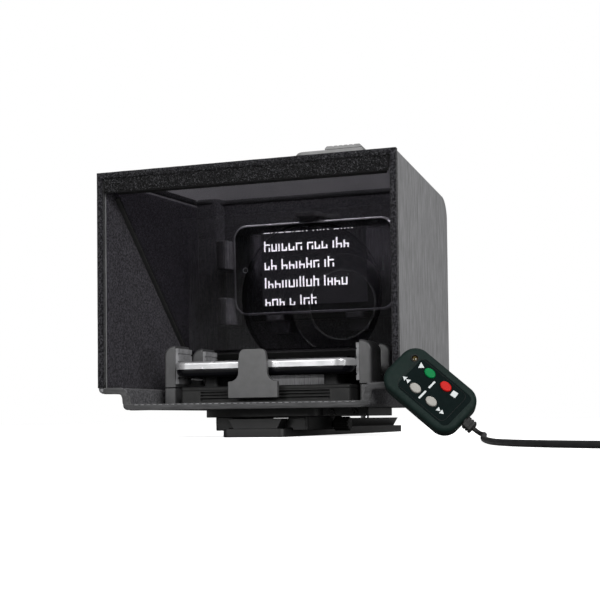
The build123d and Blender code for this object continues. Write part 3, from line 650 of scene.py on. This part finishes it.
def make_hood(m):
    low, high = box_mm("left_wall")
    right_low, right_high = box_mm("right_wall")
    wall = high.x - low.x
    paint(m["wall_fabric"], "left_wall", "right_wall", "rear_panel")
    paint(m["top_fabric"], "top_panel")
    paint(m["tray_fabric"], "tray_shell")
    for name in ("left_wall", "right_wall", "rear_panel", "top_panel", "tray_shell"):
        soften(name, 0.9, 3)

    # tape over the edge of the mouth, up one side, across the top and down the other
    front, top = low.y, high.z
    mid = wall / 2
    left, right, bottom = low.x + mid, right_high.x - mid, low.z + BINDING_MM
    corners = [(left, bottom), (left, top - mid), (right, top - mid), (right, bottom)]
    profile = tape_profile(mid, front, front + BINDING_MM, 0.2)
    tape = swept_tape(divided(corners, 4.0), profile)
    mesh = mesh_of("mouth_binding", *tape)
    wobble(mesh, 0.08, 5.0, 8)
    add_piece("mouth_binding", mesh, "hood", m["binding_tape"], ("front_binding",))

    # tape over the tray's lip, following its two steps
    tray_low, tray_high = box_mm("tray_shell")
    hem_low, hem_high = box_mm("tray_hem")
    half_tray = (hem_high.x - hem_low.x) / 2 + 3.0
    z_low, z_high = tray_low.z + mid, low.z + mid
    step_path = [(right - mid - 1, z_high), (half_tray + 2.2, z_high),
                 (half_tray - 0.4, z_high - 1.2), (half_tray - mid, z_high - 4.0),
                 (half_tray - mid - 0.3, z_low + 3.0),
                 (half_tray - mid - 1.4, z_low + 0.7), (half_tray - mid - 4.0, z_low)]
    mirrored = [(-x, z) for x, z in reversed(step_path)]
    profile = tape_profile(mid, front, front + HEM_MM, 0.3)
    tape = swept_tape(divided(step_path + mirrored, 3.0), profile)
    mesh = mesh_of("tray_binding", *tape)
    wobble(mesh, 0.08, 5.0, 9)
    add_piece("tray_binding", mesh, "hood", m["lip_fabric"], ("tray_hem",))
    # painted highlight: the pale thread stands in for the light the lip's rounded lower edge
    # catches from the floor
    seam = [(mm(x, front - 0.75, z_low + 1.35), Vector((0, -1, 0)))
            for x in range(-int(half_tray) + 9, int(half_tray) - 8, STITCH_PITCH_MM)]
    mesh = mesh_of("lip_stitches", *stitches(seam, Vector((1, 0, 0)), 2.4, 0.2))
    add_piece("lip_stitches", mesh, "hood", m["pale_thread_painted_highlight"])

    # one row of stitches just behind the tape, on the outside of each wall and of the top
    outer = mid + 0.2
    rows = []
    for x, outward in ((left - outer, Vector((-1, 0, 0))), (right + outer, Vector((1, 0, 0)))):
        spots = [(mm(x, front + 2.6, z), outward)
                 for z in range(int(bottom) + 4, int(top) - 3, STITCH_PITCH_MM)]
        rows.append(stitches(spots, Vector((0, 0, 1)), 2.6))
    spots = [(mm(x, front + 2.6, top - mid + outer), Vector((0, 0, 1)))
             for x in range(int(left) + 3, int(right) - 2, STITCH_PITCH_MM)]
    rows.append(stitches(spots, Vector((1, 0, 0)), 2.6))
    mesh = mesh_of("mouth_stitches", *gather(rows))
    add_piece("mouth_stitches", mesh, "hood", m["thread"])


def lining_top(y, node_low, node_high):
    """Height of a side lining's upper edge at y, with its rounded back corner."""
    z = node_high.z - TOP_FALL * (y - node_low.y)
    over = y - (node_high.y - LINING_CORNER_MM)
    if over > 0:
        z -= LINING_CORNER_MM - math.sqrt(max(0.0, LINING_CORNER_MM ** 2 - over ** 2))
    return z


def felt_sheet(name, node, m, place, columns, rows, seed):
    """A sheet of felt with a napped, slightly wavy inner face."""
    front, back = [], []
    for i in range(columns + 1):
        for j in range(rows + 1):
            u, v = i / columns, j / rows
            swell = 0.25 * noise.noise(Vector((u * 6, v * 6, seed)))
            inner, outer = place(u, v)
            front.append(inner + (inner - outer).normalized() * swell * MM)
            back.append(outer)
    points = front + back
    n = len(front)
    faces = []

    def at(i, j):
        return i * (rows + 1) + j

    for i in range(columns):
        for j in range(rows):
            quad = (at(i, j), at(i + 1, j), at(i + 1, j + 1), at(i, j + 1))
            faces.append(quad)
            faces.append(tuple(k + n for k in reversed(quad)))
    rim = ([at(i, 0) for i in range(columns)] + [at(columns, j) for j in range(rows)]
           + [at(i, rows) for i in range(columns, 0, -1)] + [at(0, j) for j in range(rows, 0, -1)])
    for a, b in zip(rim, rim[1:] + rim[:1]):
        faces.append((a, b, b + n, a + n))
    add_piece(name, mesh_of(name, points, faces), "hood", m["lining_felt"], (node,))


def make_linings(m):
    for side, seed in (("left", 11), ("right", 12)):
        low, high = box_mm(f"{side}_lining")
        inner_x, outer_x = (high.x, low.x) if side == "left" else (low.x, high.x)

        def place(u, v):
            y = low.y + u * (high.y - low.y)
            z = low.z + v * (lining_top(y, low, high) - low.z)
            return mm(inner_x, y, z), mm(outer_x, y, z)

        felt_sheet(f"{side}_felt", f"{side}_lining", m, place, 60, 60, seed)
    low, high = box_mm("top_lining")

    def under(u, v):
        x = low.x + v * (high.x - low.x)
        y = low.y + u * (high.y - low.y)
        z = high.z - TOP_FALL * (y - low.y)
        return mm(x, y, z - 1.0), mm(x, y, z)

    felt_sheet("top_felt", "top_lining", m, under, 50, 80, 13)


def make_loop_strip(m):
    """The hook-and-loop strip: a woven ground with a pile of tiny loops standing on it."""
    low, high = box_mm("loop_strip")
    draw = random.Random(21)
    mesh = with_modifiers(nodes["loop_strip"].data.copy(),
                          ("REMESH", {"mode": "VOXEL", "voxel_size": 0.7 * MM}))
    wobble(mesh, 0.2, 2.5, 21)
    add_piece("strip_ground", mesh, "hood", m["strip_ground"], ("loop_strip",))
    parts = []
    edge_z = box_mm("left_wall")[1].z - 1.2       # the pile also covers the edge of the top
    tape_front = box_mm("left_wall")[0].y - 0.75
    for _ in range(PILE_LOOPS):
        x = draw.uniform(low.x + 0.6, high.x - 0.6)
        z = draw.uniform(low.z + 0.5, edge_z)
        root = low.y + 0.25 if z < high.z - 0.2 else tape_front
        size = draw.uniform(0.6, 1.25)
        lean, turn = draw.uniform(-0.5, 0.5), draw.uniform(0, math.pi)
        across = Vector((math.cos(turn), 0, math.sin(turn)))
        path = []
        for k in range(6):
            angle = math.pi * k / 5
            rise = size * math.sin(angle)
            path.append(mm(x, root - rise * 0.7, z)
                        + across * (size * 0.55 * math.cos(angle) + lean * rise) * MM)
        parts.append(tube(path, 0.15 * MM, 3))
    mesh = mesh_of("strip_pile", *gather(parts))
    add_piece("strip_pile", mesh, "hood", m["strip_pile"])


def make_sleeve(m):
    """The tapering cloth sleeve: soft folds that gather towards the lens ring."""
    low, high = box_mm("lens_sleeve")
    ring_low, ring_high = box_mm("lens_ring")
    cz = (low.z + high.z) / 2
    r0 = (high.x - low.x) / 2
    r1 = (ring_high.x - ring_low.x) / 2 - 0.6
    folds, around, per_fold = 5, 96, 8
    steps = folds * per_fold
    outer, inner = [], []
    for i in range(steps + 1):
        share = i / steps
        y = low.y + share * (high.y - low.y)
        dip = 2.2 * math.sin(math.pi * ((share * folds) % 1.0)) ** 2
        rings = []
        for k in range(around):
            angle = 2 * math.pi * k / around
            spot = Vector((math.cos(angle) * 4, math.sin(angle) * 4, share * 9))
            pucker = 0.45 * noise.noise(spot)
            r = r0 + (r1 - r0) * share - dip + pucker * math.sin(math.pi * share)
            rings.append((r, angle, y))
        outer.append([mm(r * math.cos(a), yy, cz + r * math.sin(a)) for r, a, yy in rings])
        inner.append([mm((r - 1.3) * math.cos(a), yy, cz + (r - 1.3) * math.sin(a))
                      for r, a, yy in rings])
    points, faces = loft(outer + inner[::-1], closed_loft=True)
    mesh = mesh_of("cloth_sleeve", points, faces)
    add_piece("cloth_sleeve", mesh, "hood", m["tray_fabric"], ("lens_sleeve",))


# ---------------------------------------------------------------- handset
def make_handset(m):
    low, high = box_mm("handset_screen")
    face_z = high.z

    def place(u, v, w):
        return mm(u, v, face_z + w)

    cx, cy = (low.x + high.x) / 2 + 0.8, (low.y + high.y) / 2
    lit_w, lit_h = 75.0, 50.0
    outline = rounded_rectangle(cx, cy, lit_w, lit_h, 0.6, 3)
    mesh = mesh_of("screen_ground", *slab(outline, place, 0.01, 0.05))
    add_piece("screen_ground", mesh, "hood", m["screen_ground"], smooth=False)

    # meaningless strokes in rows, laid out like large lines of script
    draw = random.Random(5)
    stem, letter, space, pitch = 1.0, 4.7, 4.2, 12.4
    rows = [(7, 3, 4), (6, 3, 3), (2, 6, 2), (11, 4), (3, 1, 3)]
    parts = []

    def bar(u0, u1, v0, v1):
        u1 = min(u1, cx + lit_w / 2 - 0.6)
        v0, v1 = max(v0, cy - lit_h / 2 + 0.4), min(v1, cy + lit_h / 2)
        if u1 - u0 > 0.3 and v1 - v0 > 0.3:
            shape = rounded_rectangle((u0 + u1) / 2, (v0 + v1) / 2, u1 - u0, v1 - v0, 0.12, 2)
            parts.append(slab(shape, place, 0.05, 0.09))

    for index, words in enumerate(rows):
        foot = cy - lit_h / 2 + 0.8 + pitch * index      # the letters' foot is at the larger y
        u = cx - lit_w / 2 + 2.0
        for count in words:
            for _ in range(count):
                tall, wide = draw.random() < 0.3, draw.uniform(3.6, 4.4)
                top = foot - (7.0 if tall else 5.0)
                kind = draw.randrange(4)
                bar(u, u + stem, top, foot)
                if kind != 3:
                    bar(u + wide - stem, u + wide, foot - draw.choice((5.0, 2.6)), foot)
                    level = draw.choice((0.0, 2.1, 4.1))
                    bar(u, u + wide, foot - level - 0.9, foot - level)
                    u += wide + 1.1
                else:
                    u += stem + 1.4
            u += space - 1.6
    mesh = mesh_of("screen_strokes", *gather(parts))
    add_piece("screen_strokes", mesh, "hood", m["screen_strokes"], smooth=False)

    # a plain ring on the round button, and a grille in the slot at the other end; the grille is
    # real, and its light grey is a painted highlight in the slot
    b_low, b_high = box_mm("handset_button")
    bx, by = (b_low.x + b_high.x) / 2, (b_low.y + b_high.y) / 2
    ring = [mm(bx + 1.7 * math.cos(t), by + 1.7 * math.sin(t), b_high.z - 0.22)
            for t in [2 * math.pi * k / 32 for k in range(33)]]
    mesh = mesh_of("button_ring", *tube(ring, 0.2 * MM, 6))
    add_piece("button_ring", mesh, "handset_button", m["white_ink_and_painted_highlight"])
    slot_x, slot_w = high.x - 6.7, 1.5
    bars = [slab(rounded_rectangle(slot_x, cy - 4.6 + 0.7 * k, slot_w, 0.3, 0.1, 2),
                 place, -1.0, -0.5) for k in range(14)]
    mesh = mesh_of("speaker_grille", *gather(bars))
    add_piece("speaker_grille", mesh, "hood", m["white_ink_and_painted_highlight"], smooth=False)


# ---------------------------------------------------------------- remote
REMOTE_AT_MM = (115.5, -73.9, 26.0)
REMOTE_YAW, REMOTE_LEAN = math.radians(14.6), math.radians(20.0)
REMOTE_ROLL = math.radians(43.0)


def remote_place():
    """The remote's own axes: u along it towards the cord, v across it and w out of its face."""
    facing = Vector((math.sin(REMOTE_YAW), -math.cos(REMOTE_YAW), 0))
    sideways = Vector((math.cos(REMOTE_YAW), math.sin(REMOTE_YAW), 0))
    w_dir = facing * math.cos(REMOTE_LEAN) + Vector((0, 0, math.sin(REMOTE_LEAN)))
    rising = facing * -math.sin(REMOTE_LEAN) + Vector((0, 0, math.cos(REMOTE_LEAN)))
    u_dir = sideways * math.cos(REMOTE_ROLL) - rising * math.sin(REMOTE_ROLL)
    v_dir = w_dir.cross(u_dir)
    origin = Vector(REMOTE_AT_MM)

    def place(u, v, w):
        return (origin + u_dir * u + v_dir * v + w_dir * w) * MM

    return place


def make_remote(m):
    place = remote_place()

    def turned(points, u, v, angle):
        """An outline turned in the keypad's plane and moved to (u, v)."""
        c, s = math.cos(angle), math.sin(angle)
        return [(u + x * c - y * s, v + x * s + y * c) for x, y in points]

    triangle = [(-1.7, -1.4), (1.7, -1.4), (0.0, 1.9)]
    square = [(-1.6, -1.6), (1.6, -1.6), (1.6, 1.6), (-1.6, 1.6)]
    arrow = [(-1.1, -1.35), (1.1, 0.0), (-1.1, 1.35)]
    icons = [turned(triangle, -12.3, 6.7, REMOTE_ROLL),
             turned(square, 11.9, 6.2, REMOTE_ROLL * 0.15)]
    for shift in (-1.2, 1.2):
        icons.append(turned([(-x + shift, y) for x, y in arrow], -13.0, -4.6, 0.0))
        icons.append(turned([(x + shift, y) for x, y in arrow], 13.0, -5.9, 0.0))
    icons.append(rounded_rectangle(-0.5, 2.2, 1.1, 5.0, 0.3, 2))
    icons.append(rounded_rectangle(-0.5, -5.3, 1.1, 5.6, 0.3, 2))
    parts = [slab(shape, place, 0.02, 0.09) for shape in icons]
    mesh = mesh_of("remote_icons", *gather(parts))
    add_piece("remote_icons", mesh, "base", m["white_ink_and_painted_highlight"], smooth=False)

    # the indicator: a dark lens, domed in its hole, with a raised rim
    cu, cv, radius = -17.7, 7.5, 2.0
    rings = []
    for k in range(7):
        fall = math.pi / 2 * k / 6
        rings.append([place(cu + radius * 0.8 * math.cos(t) * math.cos(fall),
                            cv + radius * 0.8 * math.sin(t) * math.cos(fall),
                            -0.9 + 0.8 * math.sin(fall))
                      for t in [2 * math.pi * i / 28 for i in range(28)]])
    mesh = mesh_of("indicator_lens", *loft(rings[:-1]))
    add_piece("indicator_lens", mesh, "base", m["indicator"])
    rim = [place(cu + radius * math.cos(t), cv + radius * math.sin(t), 0.0)
           for t in [2 * math.pi * i / 36 for i in range(37)]]
    mesh = mesh_of("indicator_rim", *tube(rim, 0.35 * MM, 8))
    add_piece("indicator_rim", mesh, "base", m["black_plastic"])

    # a thin raised line round the keypad
    line = [place(u, v, 0.02) for u, v in rounded_rectangle(1.2, 0.0, 33.6, 20.2, 3.0, 6)]
    mesh = mesh_of("keypad_line", *tube(line + line[:1], 0.12 * MM, 5))
    add_piece("keypad_line", mesh, "base", m["black_plastic"])


# ---------------------------------------------------------------- fasteners that only show
BLOCK_SCREWS_X_MM, BLOCK_FRONT_MM, BLOCK_HEAD_MM = (46.0, 60.0), -34.0, 1.9
FLANGE_SCREWS, FLANGE_CIRCLE_MM, FLANGE_HEAD_MM = 8, 51.4, 1.5


def pan_head(centre, axis, radius_mm, parts):
    """A pan-head screw with a cross recess, standing on a face."""
    across = axis.orthogonal().normalized()
    other = axis.cross(across)
    around = 24
    rings = []
    for radius, rise in ((1.0, -0.2), (1.0, 0.35), (0.86, 0.75), (0.55, 0.95), (0.42, 0.55),
                         (0.10, 0.35)):
        ring = []
        for k in range(around):
            turn = 2 * math.pi * k / around
            r = radius * radius_mm
            if radius < 0.5:
                r *= 1.0 if k % 6 == 0 else 0.35
            ring.append(centre + (across * math.cos(turn) + other * math.sin(turn)) * r * MM
                        + axis * rise * radius_mm * 0.6 * MM)
        rings.append(ring)
    parts.append(loft(rings))


def make_visible_screws(m):
    low, high = box_mm("mount_plate")
    parts = []
    for x in BLOCK_SCREWS_X_MM:
        centre = mm(x, BLOCK_FRONT_MM, (low.z + high.z) / 2)
        pan_head(centre, Vector((0, -1, 0)), BLOCK_HEAD_MM, parts)
    mesh = mesh_of("block_screws", *gather(parts))
    add_piece("block_screws", mesh, "hood", m["black_metal"])
    flange_low, flange_high = box_mm("lens_flange")
    cz = (flange_low.z + flange_high.z) / 2
    parts = []
    for k in range(FLANGE_SCREWS):
        turn = math.radians(22.5 + 360 / FLANGE_SCREWS * k)
        centre = mm(FLANGE_CIRCLE_MM * math.cos(turn), flange_high.y,
                    cz + FLANGE_CIRCLE_MM * math.sin(turn))
        pan_head(centre, Vector((0, 1, 0)), FLANGE_HEAD_MM, parts)
    mesh = mesh_of("flange_screws", *gather(parts))
    add_piece("flange_screws", mesh, "hood", m["steel"])


# ---------------------------------------------------------------- CAD nodes
def finish_cad(m):
    paint(m["clear_glass"], "beam_splitter")
    glass = nodes["beam_splitter"].data
    glass.materials.append(m["glass"])
    for polygon in glass.polygons:
        if polygon.normal.y < -0.3 and polygon.normal.z < -0.3:      # the coated face
            polygon.material_index = 1
    paint(m["channel_plastic"], "glass_channels")
    paint(m["black_plastic"], "glass_top_rail", "glass_bottom_stop", "lens_flange",
          "cradle_cover", "pinion", "clamp_knob")
    paint(m["housing_plastic"], "cradle_base")
    paint(m["grey_plastic"], "left_arm", "left_jaw", "right_arm", "right_jaw", "rear_feet")
    paint(m["clip_plastic"], "front_clip")
    paint(m["tab_plastic"], "tab_plate", "tab_grip")
    paint(m["pad_rubber"], "left_jaw_pads", "right_jaw_pads")
    paint(m["black_rubber"], "cradle_pads", "rail_pads")
    paint(m["black_metal"], "mount_plate", "rail_carriage", "base_rail", "lens_ring", "ring_screw")
    paint(m["grey_metal"], "adapter_ring")
    paint(m["steel"], "cradle_screws", "pinion_pin", "camera_screw", "plug_tip")
    paint(m["chrome"], "handset_bezel")
    paint(m["handset_black"], "handset_back", "handset_button")
    paint(m["screen_glass"], "handset_screen")
    paint(m["remote_plastic"], "remote_top_shell", "remote_bottom_shell")
    paint(m["remote_label"], "remote_label")
    paint(m["circuit_board"], "remote_board")
    paint(m["key_green"], "green_button")
    paint(m["key_red"], "red_button")
    paint(m["key_grey"], "rewind_button", "forward_button")
    paint(m["cord_jacket"], "remote_relief", "plug_body")
    for name in ("left_arm", "left_jaw", "right_arm", "right_jaw", "front_clip", "rear_feet",
                 "cradle_cover", "cradle_base", "tab_plate", "tab_grip", "mount_plate",
                 "rail_carriage", "base_rail", "glass_top_rail", "glass_channels"):
        soften(name)


def main():
    make_camera()
    materials = make_materials()
    make_cord(materials)
    make_studio()
    finish_cad(materials)
    make_hood(materials)
    make_linings(materials)
    make_loop_strip(materials)
    make_sleeve(materials)
    make_handset(materials)
    make_remote(materials)
    make_visible_screws(materials)


main()
